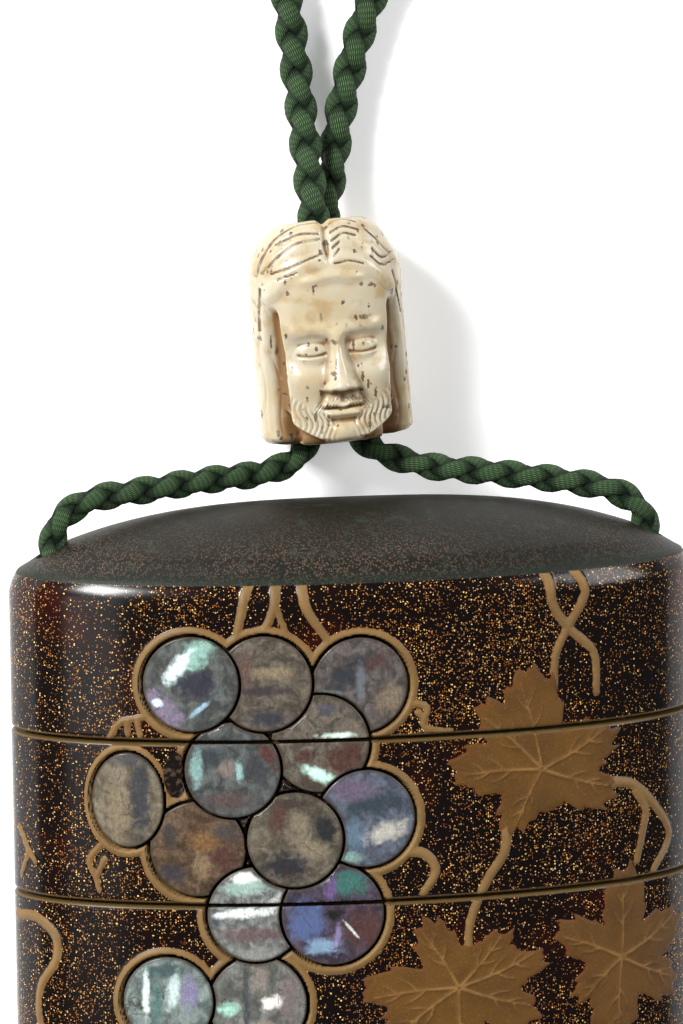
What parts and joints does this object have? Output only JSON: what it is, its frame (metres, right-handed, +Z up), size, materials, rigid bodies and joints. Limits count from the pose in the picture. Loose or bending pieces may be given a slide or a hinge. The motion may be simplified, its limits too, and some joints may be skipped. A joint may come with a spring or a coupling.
{
  "type": "inro case",
  "caption": "Stacked oval lacquer case with inlaid shell grapes and gold vine leaves, closed by a braided silk cord through a carved head bead.",
  "frame": {"origin": "on the surface that the case lies on, under the middle of the case without its cord and bead", "axes": "+Z up, out of the decorated front; +Y from the base case to the lid and the bead; +X to the right seen from the front"},
  "size_m": [0.0598, 0.1536, 0.024],
  "materials": {
    "lacquer": "glossy dark lacquer over wood, sprinkled with gold flakes, with raised matt gold decoration",
    "shell": "polished abalone shell inlay",
    "bone": "polished carved bone-like bead with brown stain in the cuts",
    "silk": "plaited green silk cord"
  },
  "bodies": {
    "root": {"lid": "lacquer", "tier_1": "lacquer", "tier_2": "lacquer", "tier_3": "lacquer", "base": "lacquer", "shell_centre_left_on_tier_1": "shell", "shell_centre_on_tier_1": "shell", "shell_centre_right_on_tier_1": "shell", "shell_foot_left_on_tier_2": "shell", "shell_foot_left_on_tier_3": "shell", "shell_foot_right_on_tier_2": "shell", "shell_foot_right_on_tier_3": "shell", "shell_lid_left_on_lid": "shell", "shell_lid_middle_on_lid": "shell", "shell_lid_right_on_lid": "shell", "shell_low_left_on_tier_2": "shell", "shell_low_middle_on_tier_2": "shell", "shell_lower_left_on_tier_1": "shell", "shell_lower_left_on_tier_2": "shell", "shell_lower_right_on_tier_1": "shell", "shell_lower_right_on_tier_2": "shell", "shell_side_oval_on_tier_1": "shell", "shell_tip_on_tier_3": "shell", "shell_upper_left_on_lid": "shell", "shell_upper_left_on_tier_1": "shell", "shell_upper_right_on_lid": "shell", "shell_upper_right_on_tier_1": "shell", "ojime": "bone", "cord_loop": "silk", "cord_through_case": "silk"}
  },
  "joints": []
}
